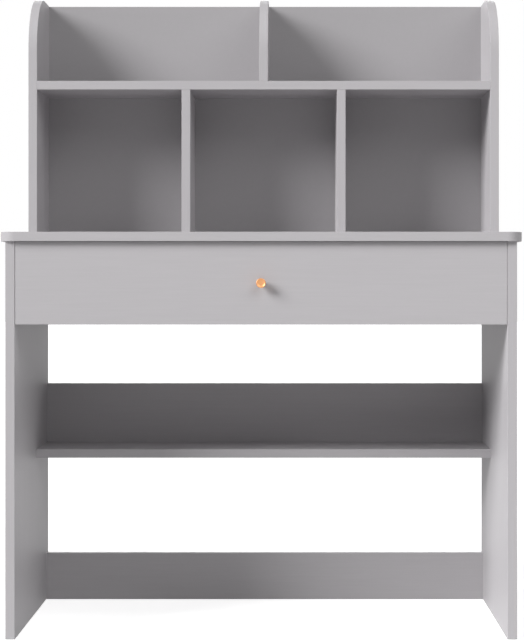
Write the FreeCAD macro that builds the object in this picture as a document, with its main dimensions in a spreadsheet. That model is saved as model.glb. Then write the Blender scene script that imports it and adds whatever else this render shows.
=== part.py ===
"""Student desk with an open hutch, a knee shelf and one full-width drawer on roller runners.

Frame: +X right, +Y towards the back, +Z up. The origin is on the floor, under the middle of the
desk's overall box, which the knob reaches in front and the worktop at the back.
All lengths are in millimetres. Driving sizes are in the sheet "Sizes"; levels and faces that
follow from them are in the variable set "Places".
"""
import FreeCAD, Part

import os

import Sketcher
from FreeCAD import Placement, Rotation, Vector

SIZES = {
    # worktop and carcass
    "worktop_width": 1000,
    "worktop_depth": 500,
    "worktop_height": 779,
    "board": 18,
    "corner_radius": 28,
    "edge_break": 0.5,
    "side_overhang": 11,
    "front_overhang": 10,
    "rear_overhang": 16,
    # rails and knee shelf
    "apron_height": 159,
    "knee_shelf_top": 338,
    "knee_shelf_depth": 188,
    "knee_back_height": 127,
    "floor_rail_height": 100,
    "floor_rail_setback": 13,
    # hutch
    "hutch_depth": 188,
    "hutch_height": 507,
    "hutch_radius": 120,
    "cubby_height": 305,
    "middle_cubby": 305,
    "back_panel": 3,
    "back_setback": 0.5,
    "back_drop": 1.5,
    "back_rebate": 9,
    "panel_play": 0.5,
    # drawer box
    "drawer_recess": 0.5,
    "drawer_gap": 0.6,
    "drawer_front_height": 158.5,
    "drawer_board": 15,
    "drawer_side_height": 110,
    "drawer_rear_gap": 37.5,
    "drawer_lift": 12,
    "drawer_bottom": 3,
    "groove_depth": 6,
    "groove_rise": 10,
    "groove_play": 0.2,
    "brace_width": 60,
    # knob
    "knob_reach": 21,
    "knob_radius": 9.2,
    "knob_neck": 4.6,
    "knob_foot": 6.5,
    "knob_foot_depth": 2,
    "knob_head_depth": 10,
    "knob_rim": 1,
    "knob_dish": 0.8,
    "knob_bore_depth": 13,
    # roller runners
    "runner_space": 12.5,
    "runner_overlap": 100,
    "runner_setback": 2,
    "steel": 1.2,
    "member_gap": 1,
    "flange_play": 1.5,
    "roof_reach": 7,
    "flange_reach": 9.1,
    "foot_reach": 13.2,
    "roller_radius": 10,
    "roller_width": 5.5,
    "roller_gap": 0.3,
    "roller_offset": 0.8,
    "pin_radius": 2,
    "pin_play": 0.08,
    "pin_hole_play": 0.2,
    "pin_head": 3.5,
    "pin_head_depth": 0.8,
    "stop_height": 3,
    "stop_width": 6,
    # cam connectors and dowels
    "cam_radius": 7.4,
    "cam_depth": 12,
    "cam_reach": 34,
    "bolt_radius": 2.5,
    "bolt_bite": 11,
    "bolt_passage": 3.4,
    "bolt_neck": 1.6,
    "bolt_neck_length": 4.5,
    "bolt_head": 2.8,
    "bolt_head_depth": 3,
    "dowel_radius": 4,
    "dowel_length": 30,
    "dowel_bite": 10,
    "bore_play": 0.15,
    "bore_spare": 0.5,
    # screws
    "screw_radius": 1.75,
    "screw_length": 35,
    "screw_head": 3.8,
    "screw_head_depth": 2.4,
    "runner_screw_length": 13,
    "runner_screw_head": 3.4,
    "runner_screw_head_depth": 1.6,
    "runner_screw_inset": 37,
    "member_screw_inset": 5,
    "knob_screw_radius": 2,
    "knob_screw_length": 28,
    "knob_screw_head": 4,
    "knob_screw_head_depth": 2.2,
    # where connectors sit
    "rail_inset": 30,
    "shelf_inset": 40,
    "worktop_bolt_inset": 60,
    "divider_inset": 45,
    "drawer_bolt_inset": 28,
}

PLACES = {
    # carcass, front to back
    "side_depth": "Sizes.worktop_depth - Sizes.front_overhang - Sizes.rear_overhang",
    "foremost": "min(Sizes.drawer_recess - Sizes.knob_reach; -Sizes.front_overhang)",
    "side_front": "-(Sizes.worktop_depth - Sizes.front_overhang + Places.foremost) / 2",
    "side_rear": "Places.side_front + Places.side_depth",
    "top_front": "Places.side_front - Sizes.front_overhang",
    "top_rear": "Places.top_front + Sizes.worktop_depth",
    # carcass, across and up
    "outer_half": "Sizes.worktop_width / 2 - Sizes.side_overhang",
    "inner_half": "Places.outer_half - Sizes.board",
    "top_under": "Sizes.worktop_height - Sizes.board",
    "half_board": "Sizes.board / 2",
    "apron_low": "Places.top_under - Sizes.apron_height",
    "rail_middle": "Places.side_rear - Places.half_board",
    "knee_shelf_under": "Sizes.knee_shelf_top - Sizes.board",
    "knee_shelf_front": "Places.side_rear - Sizes.knee_shelf_depth",
    "floor_rail_middle": "Places.rail_middle - Sizes.floor_rail_setback",
    # hutch
    "hutch_front": "Places.top_rear - Sizes.hutch_depth",
    "hutch_inner_depth": "Sizes.hutch_depth - Sizes.back_panel - Sizes.back_setback",
    "hutch_rear": "Places.hutch_front + Places.hutch_inner_depth",
    "hutch_shelf_under": "Sizes.worktop_height + Sizes.cubby_height",
    "hutch_shelf_top": "Places.hutch_shelf_under + Sizes.board",
    "hutch_top": "Sizes.worktop_height + Sizes.hutch_height",
    "divider_centre": "Sizes.middle_cubby / 2 + Places.half_board",
    # drawer
    "front_half": "Places.inner_half - Sizes.drawer_gap",
    "front_face": "Places.side_front + Sizes.drawer_recess",
    "front_inside": "Places.front_face + Sizes.board",
    "front_top": "Places.top_under - Sizes.drawer_gap",
    "front_low": "Places.front_top - Sizes.drawer_front_height",
    "knob_height": "(Places.front_top + Places.front_low) / 2",
    "box_low": "Places.front_low + Sizes.drawer_lift",
    "box_half": "Places.inner_half - Sizes.runner_space",
    "box_inner_half": "Places.box_half - Sizes.drawer_board",
    "drawer_depth": "Places.side_rear - Sizes.board - Sizes.drawer_rear_gap - Places.front_inside",
    "box_rear": "Places.front_inside + Places.drawer_depth",
    "bottom_low": "Places.box_low + Sizes.groove_rise",
    "bottom_top": "Places.bottom_low + Sizes.drawer_bottom",
    "drawer_back_height": "Sizes.drawer_side_height - Sizes.groove_rise - Sizes.drawer_bottom",
    # runners: heights are counted from the channel floor
    "channel_floor": "Places.box_low + Sizes.member_gap",
    "flange_under": "2 * Sizes.roller_radius + 2 * Sizes.roller_gap",
    "flange_top": "Places.flange_under + Sizes.steel",
    "channel_height": "Places.flange_top + Sizes.flange_play",
    "runner_front": "Places.front_inside + Sizes.runner_setback",
    "runner_length": "Places.drawer_depth",
    "travel": "Places.runner_length - Sizes.runner_overlap",
    "rear_roller_radius": "Places.channel_height / 2 - Sizes.roller_gap",
    "front_roller_height": "Places.channel_floor + Sizes.roller_gap + Sizes.roller_radius",
    "rear_roller_height": "Places.channel_floor + Places.channel_height / 2",
    "front_roller_centre": "Places.runner_front + Sizes.steel + Sizes.roller_radius",
    "rear_roller_centre": "Places.front_inside + Places.runner_length - Places.rear_roller_radius",
    "front_roller_side": "Places.inner_half - Sizes.steel - Sizes.roller_offset",
    "rear_roller_side": "Places.box_half + Sizes.steel + Sizes.roller_offset",
    "stop_drop": "Places.channel_height / 2 - Sizes.stop_height",
    "stop_ahead": "sqrt(Places.rear_roller_radius * Places.rear_roller_radius"
                  " - Places.stop_drop * Places.stop_drop)",
    "out_stop": "Places.rear_roller_centre - Places.travel - Places.stop_ahead"
                " - Sizes.roller_gap",
}

FLAT = 1e-4
# Hardware that boards or runners hide is drawn with few sides, and so are the bores it sits in.
HIDDEN_SIDES = 6
DISC_SIDES = 12
HANDS = (("left", "-", -1), ("right", "", 1))
RIGHT = Vector(1, 0, 0)
BACK = Vector(0, 1, 0)
UP = Vector(0, 0, 1)

document = FreeCAD.newDocument("student_desk")
nodes = []


# ---------------------------------------------------------------- sheet and helpers

def write_sheet():
    """Put the driving sizes in a sheet, one named cell each."""
    sheet = document.addObject("Spreadsheet::Sheet", "Sizes")
    for row, (name, value) in enumerate(SIZES.items(), 1):
        sheet.set(f"A{row}", name)
        sheet.set(f"B{row}", str(value))
        sheet.setAlias(f"B{row}", name)
    document.recompute()


def write_places():
    """Bind each derived level or face to the sizes it follows from."""
    places = document.addObject("App::VarSet", "Places")
    for name, expression in PLACES.items():
        places.addProperty("App::PropertyFloat", name, "Places")
        places.setExpression(name, expression)
        document.recompute()


def bind(item, **expressions):
    """Bind properties of an object to expressions."""
    for name, expression in expressions.items():
        item.setExpression(name, expression)


def place(item, x="0", y="0", z="0", turn=Rotation()):
    """Stand an object at a bound place, turned by a fixed rotation."""
    item.Placement = Placement(Vector(), turn)
    item.setExpression("Placement.Base.x", x)
    item.setExpression("Placement.Base.y", y)
    item.setExpression("Placement.Base.z", z)
    return item


def facing(along, opening):
    """Rotation that lays local X along one direction and local Z along another."""
    return Rotation(along, opening.cross(along), opening, "XZY")


def keep(label, item):
    """Name a finished sub-part and list it for export."""
    item.Label = label
    nodes.append(item)
    return item


def sketch_on(body, role, name, offset=None):
    """Sketch on one of the body's own origin planes, shifted along its normal if asked."""
    sketch = body.newObject("Sketcher::SketchObject", name)
    plane = next(feature for feature in body.Origin.OriginFeatures if feature.Role == role)
    sketch.AttachmentSupport = [(plane, "")]
    sketch.MapMode = "FlatFace"
    if offset:
        sketch.setExpression("AttachmentOffset.Base.z", offset)
    return sketch


def outline(sketch, corners):
    """Closed outline of straight lines through corners given as pairs of expressions."""
    count = len(corners)
    ring = [Vector(100, 0, 0)]
    for step in range(1, count + 1):
        ring.append(Rotation(UP, 360 * step / count).multVec(ring[0]))
    for step in range(count):
        sketch.addGeometry(Part.LineSegment(ring[step], ring[step + 1]))
    for step in range(count):
        sketch.addConstraint(Sketcher.Constraint("Coincident", step, 2, (step + 1) % count, 1))
    for step, (across, up) in enumerate(corners):
        for kind, expression in (("DistanceX", across), ("DistanceY", up)):
            number = sketch.addConstraint(Sketcher.Constraint(kind, -1, 1, step, 1, 1.0))
            sketch.setExpression(f"Constraints[{number}]", expression)


def rectangle(left, low, right, high):
    """Corners of a rectangle, as expressions."""
    return [(left, low), (right, low), (right, high), (left, high)]


def pad(body, sketch, length, backwards=False):
    """Raise a sketch into a solid."""
    feature = body.newObject("PartDesign::Pad", "pad")
    feature.Profile = sketch
    feature.Reversed = backwards
    bind(feature, Length=length)
    document.recompute()
    return feature


def pocket(body, sketch, depth, backwards=False):
    """Sink a sketch into the body, and make sure that it removes material."""
    before = body.Shape.Volume
    feature = body.newObject("PartDesign::Pocket", "pocket")
    feature.Profile = sketch
    feature.Reversed = backwards
    bind(feature, Length=depth)
    document.recompute()
    if body.Shape.Volume > before - FLAT:
        raise ValueError(f"{body.Label}: the pocket removes nothing")
    return feature


def dress_edges(body, kind, size_name, size, wanted):
    """Round or chamfer the edges of the body's tip that pass a test."""
    base = body.Tip
    box = base.Shape.BoundBox
    picked = []
    for number, edge in enumerate(base.Shape.Edges, 1):
        if wanted(edge.BoundBox, box):
            picked.append(f"Edge{number}")
    feature = body.newObject(f"PartDesign::{kind}", kind.lower())
    feature.Base = (base, picked)
    feature.setExpression(size_name, size)
    document.recompute()
    return feature


def round_corners(body, radius, wanted):
    """Round the edges that pass a test to a radius that shows."""
    return dress_edges(body, "Fillet", "Radius", radius, wanted)


def break_edges(body, wanted):
    """Take the sharpness off the edges that pass a test."""
    return dress_edges(body, "Chamfer", "Size", "Sizes.edge_break", wanted)


def plate(name, role, corners, thickness, backwards=False):
    """Flat board: an outline on one of the origin planes, raised by its thickness."""
    body = document.addObject("PartDesign::Body", name)
    sketch = sketch_on(body, role, f"{name}_outline")
    outline(sketch, corners)
    pad(body, sketch, thickness, backwards)
    return body


def turned(name, corners):
    """Solid of revolution about local X: corners are pairs of distance along X and radius."""
    body = document.addObject("PartDesign::Body", name)
    sketch = sketch_on(body, "XY_Plane", f"{name}_profile")
    outline(sketch, corners)
    feature = body.newObject("PartDesign::Revolution", "turning")
    feature.Profile = sketch
    feature.ReferenceAxis = (sketch, ["H_Axis"])
    feature.Angle = 360
    document.recompute()
    return body


def prism(name, sides, start, end, radius):
    """Few-sided bar about local X, from start to end."""
    bar = document.addObject("Part::Prism", name)
    bar.Polygon = sides
    bind(bar, Circumradius=radius, Height=f"{end} - ({start})")
    return place(bar, start, turn=Rotation(BACK, 90))


def stepped(name, sections):
    """Hardware that the boards hide, six-sided: sections are start, end and radius along local X."""
    steps = []
    for number, (start, end, radius) in enumerate(sections, 1):
        steps.append(prism(f"{name}_{number}", HIDDEN_SIDES, start, end, radius))
    bar = document.addObject("Part::MultiFuse", name)
    bar.Shapes = steps
    return bar


def copies(master, name, spots):
    """Linked copies of a master at bound places; each spot is (x, y, z, rotation)."""
    made = []
    for number, (x, y, z, turn) in enumerate(spots, 1):
        copy = document.addObject("App::Link", f"{name}_{number}")
        copy.LinkedObject = master
        copy.LinkTransform = True
        place(copy, x, y, z, turn)
        made.append(copy)
    return made


def group(label, items):
    """One sub-part of several separate solids."""
    compound = document.addObject("Part::Compound", label)
    compound.Links = items
    document.recompute()
    return keep(label, compound)


def drilled(label, blank, bores):
    """Board with every bore that reaches into it cut out."""
    document.recompute()
    blank.Label = f"{label}_blank"
    box = blank.Shape.BoundBox
    reaching = [bore for bore in bores if Part.getShape(bore).BoundBox.intersect(box)]
    tools = document.addObject("Part::Compound", f"{label}_bores")
    tools.Links = reaching
    cut = document.addObject("Part::Cut", label)
    cut.Base = blank
    cut.Tool = tools
    document.recompute()
    if cut.Shape.Volume > blank.Shape.Volume - FLAT:
        raise ValueError(f"{label}: the bores remove nothing")
    return keep(label, cut)


# ---------------------------------------------------------------- which edges are dressed

def runs_along_x_in_front(edge, box):
    """Long edges of a cross board's front face."""
    return edge.YMax < box.YMin + FLAT and edge.XLength > FLAT and edge.ZLength < FLAT


def stands_upright(edge, box):
    """Upright edges of a side panel."""
    return edge.ZLength > box.ZLength / 2


def upright_in_front(edge, box):
    """Upright edges of a panel's front."""
    return stands_upright(edge, box) and edge.YMax < box.YMin + FLAT


def exposed_profile(edge, box):
    """Edges of an upright panel's two faces along its front, rounded corner and top."""
    in_a_face = edge.XLength < FLAT
    return in_a_face and edge.ZMax > box.ZMin + FLAT and edge.YMin < box.YMax - FLAT


def upper_front_corner(edge, box):
    """Edge across an upright panel where its front meets its top."""
    across = edge.YLength < FLAT and edge.ZLength < FLAT
    return across and edge.YMax < box.YMin + FLAT and edge.ZMin > box.ZMax - FLAT


def front_corners(edge, box):
    """Upright edges at the front of a flat board."""
    return edge.ZLength > FLAT and edge.YMax < box.YMin + FLAT


def rims(edge, box):
    """All edges of a flat board's top and bottom faces."""
    return edge.ZLength < FLAT


def face_rim(edge, box):
    """The four edges round a front's outer face."""
    return edge.YMax < box.YMin + FLAT


# ---------------------------------------------------------------- masters of the hardware

def wood_dowel():
    """Beech dowel and its bore; local X points into the deeper bore."""
    start = "-Sizes.dowel_bite"
    end = "Sizes.dowel_length - Sizes.dowel_bite"
    dowel = prism("dowel_master", HIDDEN_SIDES, start, end, "Sizes.dowel_radius")
    bore = prism("dowel_bore", HIDDEN_SIDES, f"{start} - Sizes.bore_spare",
                 f"{end} + Sizes.bore_spare", "Sizes.dowel_radius + Sizes.bore_play")
    return dowel, bore


def cam_bolt():
    """Bolt that bites into one board and is caught by its head in the other board's cam."""
    head_end = "Sizes.cam_reach + Sizes.bolt_head_depth / 2"
    head_start = "Sizes.cam_reach - Sizes.bolt_head_depth / 2"
    neck_start = f"{head_start} - Sizes.bolt_neck_length"
    return stepped("cam_bolt_master", [
        ("-Sizes.bolt_bite", neck_start, "Sizes.bolt_radius"),
        (neck_start, head_start, "Sizes.bolt_neck"),
        (head_start, head_end, "Sizes.bolt_head"),
    ])


def disc(name, thickness, radius, depth, height):
    """Cam disc or its seat, square to the bolt, sunk from the face of a board."""
    body = document.addObject("Part::Prism", name)
    body.Polygon = DISC_SIDES
    bind(body, Circumradius=radius, Height=height)
    return place(body, "Sizes.cam_reach", "0", f"{thickness} / 2 - ({depth})")


def cam_lock(name, thickness):
    """Cam disc flush with a board's face, with the throat that takes the bolt's head."""
    body = disc(f"{name}_disc", thickness, "Sizes.cam_radius", "Sizes.cam_depth", "Sizes.cam_depth")
    throat = prism(f"{name}_throat", HIDDEN_SIDES,
                   "Sizes.cam_reach - Sizes.cam_radius - Sizes.bore_spare",
                   "Sizes.cam_reach + Sizes.bolt_head_depth", "Sizes.bolt_passage")
    cam = document.addObject("Part::Cut", f"{name}_master")
    cam.Base = body
    cam.Tool = throat
    return cam


def cam_bore(name, thickness):
    """Everything drilled for one connector: bite, bolt passage and the cam's own seat."""
    passage = stepped(f"{name}_passage", [
        ("-Sizes.bolt_bite - Sizes.bore_spare", "0", "Sizes.bolt_radius + Sizes.bore_play"),
        ("0", "Sizes.cam_reach", "Sizes.bolt_passage + Sizes.bore_play"),
    ])
    depth = "Sizes.cam_depth + Sizes.bore_play"
    seat = disc(f"{name}_seat", thickness, "Sizes.cam_radius + Sizes.bore_play", depth,
                f"{depth} + Sizes.bore_spare")
    bore = document.addObject("Part::Fuse", f"{name}_bore")
    bore.Base = passage
    bore.Tool = seat
    return bore


def sunk_screw(name, play="0", spare="0"):
    """Wood screw along local X, its head sunk flush with the plane x = 0, or its bore."""
    head_end = f"Sizes.screw_head_depth + {play}"
    return stepped(name, [
        (f"-{spare}", head_end, f"Sizes.screw_head + {play}"),
        (head_end, f"Sizes.screw_length + {spare}", f"Sizes.screw_radius + {play}"),
    ])


def pan_headed(name, length, radius, head, head_depth):
    """Screw driven along local X, with its head standing proud of the plane x = 0."""
    return stepped(name, [(f"-{head_depth}", "0", head), ("0", length, radius)])


def shank_bore(name, length, radius):
    """Plain bore along local X for a screw's shank."""
    return prism(name, HIDDEN_SIDES, "-Sizes.bore_spare", f"{length} + Sizes.bore_spare",
                 f"{radius} + Sizes.bore_play")


# ---------------------------------------------------------------- where the hardware sits

def end_joint_spots(along, height, opening, half="Places.inner_half"):
    """The same joint at both ends of a cross board, between the two side panels."""
    spots = []
    for side, sign, hand in HANDS:
        turn = facing(RIGHT * -hand, opening)
        spots.append((f"{sign}{half}", along, height, turn))
    return spots


def add_panel_connectors():
    """Cam locks, cam bolts and their bores in the 18 mm boards."""
    lock = cam_lock("panel_cam", "Sizes.board")
    bore = cam_bore("panel_cam", "Sizes.board")
    bolt = cam_bolt()
    middle = "Places.rail_middle"
    spots = []
    spots += end_joint_spots(middle, "Places.top_under - Sizes.rail_inset", BACK)
    spots += end_joint_spots("Places.side_rear - Sizes.shelf_inset * 1.5",
                             "Sizes.knee_shelf_top - Places.half_board", -UP)
    spots += end_joint_spots(middle, "Sizes.knee_shelf_top + Sizes.knee_back_height / 2", BACK)
    spots += end_joint_spots("Places.floor_rail_middle",
                             "Sizes.floor_rail_height - Sizes.rail_inset", BACK)
    spots += end_joint_spots("Places.hutch_rear - Sizes.shelf_inset * 1.5",
                             "Places.hutch_shelf_top - Places.half_board", UP)
    for side, sign, hand in HANDS:
        for depth in ("Places.side_front + Sizes.worktop_bolt_inset",
                      "Places.side_rear - Sizes.worktop_bolt_inset"):
            across = f"{sign}(Places.inner_half + Places.half_board)"
            spots.append((across, depth, "Places.top_under", facing(-UP, RIGHT * -hand)))
    return (copies(lock, "cam_lock", spots), copies(bolt, "cam_bolt", spots),
            copies(bore, "cam_bore", spots), bolt)


def add_drawer_connectors(bolt):
    """Cam locks, bolts and bores that hold the drawer front to the drawer sides."""
    lock = cam_lock("drawer_cam", "Sizes.drawer_board")
    bore = cam_bore("drawer_cam", "Sizes.drawer_board")
    spots = []
    for side, sign, hand in HANDS:
        across = f"{sign}(Places.box_half - Sizes.drawer_board / 2)"
        for height in ("Places.bottom_top + Sizes.drawer_bolt_inset / 2",
                       "Places.box_low + Sizes.drawer_side_height - Sizes.drawer_bolt_inset"):
            spots.append((across, "Places.front_inside", height, facing(BACK, RIGHT * -hand)))
    return (copies(lock, "drawer_lock", spots), copies(bolt, "drawer_bolt", spots),
            copies(bore, "drawer_lock_bore", spots))


def add_dowels():
    """Dowels and their bores; each points from the board it bites into to the deeper bore."""
    dowel, bore = wood_dowel()
    spots = []
    spots += end_joint_spots("Places.rail_middle", "Places.apron_low + Sizes.rail_inset", UP)
    spots += end_joint_spots("Places.knee_shelf_front + Sizes.shelf_inset",
                             "Sizes.knee_shelf_top - Places.half_board", UP)
    spots += end_joint_spots("Places.floor_rail_middle", "Sizes.rail_inset", UP)
    spots += end_joint_spots("Places.hutch_front + Sizes.shelf_inset",
                             "Places.hutch_shelf_top - Places.half_board", UP)
    upward = facing(UP, RIGHT)
    downward = facing(-UP, RIGHT)
    front = "Places.hutch_front + Sizes.shelf_inset"
    rear = "Places.hutch_rear - Sizes.shelf_inset"
    for side, sign, hand in HANDS:
        for depth in (front, rear):
            spots.append((f"{sign}(Places.inner_half + Places.half_board)", depth,
                          "Sizes.worktop_height", upward))
            spots.append((f"{sign}Places.divider_centre", depth,
                          "Places.hutch_shelf_under", downward))
    for depth in ("Places.hutch_rear - Sizes.hutch_depth / 2", rear):
        spots.append(("0", depth, "Places.hutch_shelf_top", upward))
    return copies(dowel, "dowel", spots), copies(bore, "dowel_hole", spots)


def add_wood_screws():
    """Sunk screws: up through the worktop into the dividers, and through the drawer sides."""
    screw = sunk_screw("screw_master")
    bore = sunk_screw("screw_bore", "Sizes.bore_play", "Sizes.bore_spare")
    divider_spots = []
    drawer_spots = []
    for side, sign, hand in HANDS:
        for depth in ("Places.hutch_front + Sizes.divider_inset",
                      "Places.hutch_rear - Sizes.divider_inset"):
            divider_spots.append((f"{sign}Places.divider_centre", depth, "Places.top_under",
                                  facing(UP, RIGHT)))
        for height in ("Places.bottom_top + Sizes.rail_inset",
                       "Places.bottom_top + Places.drawer_back_height - Sizes.rail_inset / 2"):
            drawer_spots.append((f"{sign}Places.box_half",
                                 "Places.box_rear - Sizes.drawer_board / 2", height,
                                 facing(RIGHT * -hand, UP)))
    return (copies(screw, "divider_screw", divider_spots),
            copies(screw, "drawer_screw", drawer_spots),
            copies(bore, "divider_screw_bore", divider_spots),
            copies(bore, "drawer_screw_bore", drawer_spots))


def add_runner_screws():
    """Pan-head screws of the cabinet members and of the drawer members."""
    head = ("Sizes.runner_screw_head", "Sizes.runner_screw_head_depth")
    screw = pan_headed("runner_screw_master", "Sizes.runner_screw_length", "Sizes.screw_radius",
                       *head)
    bore = shank_bore("runner_screw_hole", "Sizes.runner_screw_length", "Sizes.screw_radius")
    cabinet_spots = []
    drawer_spots = []
    for side, sign, hand in HANDS:
        for start, length in (("Places.runner_front", "Places.runner_length"),
                              ("Places.runner_front", "Places.runner_length / 2"),
                              ("Places.runner_front", "2 * Sizes.runner_screw_inset")):
            depth = f"{start} + {length} - Sizes.runner_screw_inset"
            cabinet_spots.append((f"{sign}(Places.inner_half - Sizes.steel)", depth,
                                  "Places.rear_roller_height", facing(RIGHT * hand, UP)))
            drawer_spots.append((f"{sign}(Places.box_half - Sizes.member_screw_inset)", depth,
                                 "Places.box_low - Sizes.steel", facing(UP, RIGHT)))
    return (copies(screw, "cabinet_screw", cabinet_spots),
            copies(screw, "runner_screw", drawer_spots),
            copies(bore, "cabinet_screw_bore", cabinet_spots),
            copies(bore, "runner_screw_bore", drawer_spots))


# ---------------------------------------------------------------- carcass and hutch

def worktop():
    """Top board with its two front corners rounded in plan and all rims softened."""
    half = "Sizes.worktop_width / 2"
    body = plate("worktop_blank", "XY_Plane",
                 rectangle(f"-{half}", "0", half, "Sizes.worktop_depth"), "Sizes.board")
    round_corners(body, "Sizes.corner_radius", front_corners)
    break_edges(body, rims)
    return place(body, "0", "Places.top_front", "Places.top_under")


def cross_board(name, height, depth_place, height_place, half="Places.inner_half"):
    """Upright board between the two sides, with its front edges softened."""
    body = plate(name, "XZ_Plane", rectangle(f"-{half}", "0", half, height), "Sizes.board", True)
    break_edges(body, runs_along_x_in_front)
    return place(body, "0", depth_place, height_place)


def shelf_board(name, depth, depth_place, height_place):
    """Flat board between the two sides, with its front edges softened."""
    half = "Places.inner_half"
    body = plate(name, "XY_Plane", rectangle(f"-{half}", "0", half, depth), "Sizes.board")
    break_edges(body, runs_along_x_in_front)
    return place(body, "0", depth_place, height_place)


def desk_side(name, sign):
    """Side panel from the floor to the worktop; its inner face lies in the plane x = 0."""
    body = plate(name, "YZ_Plane", rectangle("0", "0", "Places.side_depth", "Places.top_under"),
                 "Sizes.board", sign == "-")
    break_edges(body, stands_upright)
    return place(body, f"{sign}Places.inner_half", "Places.side_front", "0")


def hutch_panel(name, depth, height, backwards=False):
    """Upright hutch panel with a large rounded upper front corner and softened edges."""
    body = plate(name, "YZ_Plane", rectangle("0", "0", depth, height), "Sizes.board", backwards)
    round_corners(body, "Sizes.hutch_radius", upper_front_corner)
    break_edges(body, exposed_profile)
    return body


def hutch_side(name, sign):
    """Hutch side with a rebate along its inner rear edge for the back panel."""
    body = hutch_panel(name, "Sizes.hutch_depth", "Sizes.hutch_height", sign == "-")
    rebate = sketch_on(body, "XY_Plane", f"{name}_rebate")
    outline(rebate, rectangle(
        f"-({sign}Sizes.bore_spare)", "Places.hutch_inner_depth",
        f"{sign}Sizes.back_rebate", "Sizes.hutch_depth + Sizes.bore_spare"))
    pocket(body, rebate, "Sizes.hutch_height", True)
    return place(body, f"{sign}Places.inner_half", "Places.hutch_front", "Sizes.worktop_height")


def lower_divider(name, sign):
    """Upright divider between worktop and hutch shelf; the two of them flank the middle cubby."""
    body = plate(name, "YZ_Plane",
                 rectangle("0", "0", "Places.hutch_inner_depth", "Sizes.cubby_height"),
                 "Sizes.board")
    break_edges(body, upright_in_front)
    return place(body, f"{sign}Places.divider_centre - Places.half_board", "Places.hutch_front",
                 "Sizes.worktop_height")


def top_divider():
    """Upright divider above the hutch shelf, rounded like the hutch sides."""
    body = hutch_panel("top_divider_blank", "Places.hutch_inner_depth",
                       "Places.hutch_top - Places.hutch_shelf_top")
    return place(body, "-Places.half_board", "Places.hutch_front", "Places.hutch_shelf_top")


def back_sheet():
    """Thin back panel that lies in the rebates of the hutch sides."""
    half = "(Places.inner_half + Sizes.back_rebate - Sizes.panel_play)"
    body = plate("hutch_back_blank", "XZ_Plane",
                 rectangle(f"-{half}", "0", half, "Sizes.hutch_height - Sizes.back_drop"),
                 "Sizes.back_panel", True)
    return place(body, "0", "Places.hutch_rear", "Sizes.worktop_height")


# ---------------------------------------------------------------- drawer box and knob

def groove(body, role, offset, corners, length, backwards):
    """Groove for the drawer bottom, cut along the board from a plane at its end."""
    sketch = sketch_on(body, role, f"{body.Name}_groove", offset)
    outline(sketch, corners)
    pocket(body, sketch, length, backwards)


def groove_section(across_start, across_end, low):
    """Section of the groove: as high as the drawer bottom and its play."""
    high = f"{low} + Sizes.drawer_bottom + 2 * Sizes.groove_play"
    return rectangle(across_start, low, across_end, high)


def drawer_face():
    """Full-width drawer front, inset between the desk sides, grooved at the back."""
    half = "Places.front_half"
    body = plate("drawer_front_blank", "XZ_Plane",
                 rectangle(f"-{half}", "0", half, "Sizes.drawer_front_height"),
                 "Sizes.board", True)
    break_edges(body, face_rim)
    low = "Sizes.drawer_lift + Sizes.groove_rise - Sizes.groove_play"
    groove(body, "YZ_Plane", "-Places.box_inner_half - Sizes.groove_depth",
           groove_section("Sizes.board - Sizes.groove_depth", "Sizes.board + Sizes.bore_spare",
                          low),
           "2 * (Places.box_inner_half + Sizes.groove_depth)", True)
    return place(body, "0", "Places.front_face", "Places.front_low")


def drawer_side(name, sign):
    """Drawer side; its outer face lies in the plane x = 0 and its inner face is grooved."""
    body = plate(name, "YZ_Plane",
                 rectangle("0", "0", "Places.drawer_depth", "Sizes.drawer_side_height"),
                 "Sizes.drawer_board", sign == "")
    low = "Sizes.groove_rise - Sizes.groove_play"
    start = "Sizes.drawer_board - Sizes.groove_depth"
    end = "Sizes.drawer_board + Sizes.bore_spare"
    inward = "" if sign == "-" else "-"
    groove(body, "XZ_Plane", "0", groove_section(f"{inward}({start})", f"{inward}({end})", low),
           "Places.drawer_depth", False)
    return place(body, f"{sign}Places.box_half", "Places.front_inside", "Places.box_low")


def drawer_back():
    """Drawer back, which stands on the drawer bottom between the drawer sides."""
    half = "Places.box_inner_half"
    body = plate("drawer_back_blank", "XZ_Plane",
                 rectangle(f"-{half}", "0", half, "Places.drawer_back_height"),
                 "Sizes.drawer_board", True)
    return place(body, "0", "Places.box_rear - Sizes.drawer_board", "Places.bottom_top")


def drawer_base():
    """Thin drawer bottom, let into the grooves of the front and the sides."""
    half = "(Places.box_inner_half + Sizes.groove_depth - Sizes.groove_play)"
    front = "-(Sizes.groove_depth - Sizes.groove_play)"
    body = plate("drawer_bottom_sheet", "XY_Plane",
                 rectangle(f"-{half}", front, half, "Places.drawer_depth"), "Sizes.drawer_bottom")
    return place(body, "0", "Places.front_inside", "Places.bottom_low")


def bottom_brace():
    """Batten under the middle of the wide drawer bottom, front to back."""
    half = "Sizes.brace_width / 2"
    body = plate("brace_batten", "XY_Plane",
                 rectangle(f"-{half}", "0", half, "Places.drawer_depth"), "Sizes.groove_rise")
    return place(body, "0", "Places.front_inside", "Places.box_low")


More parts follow.
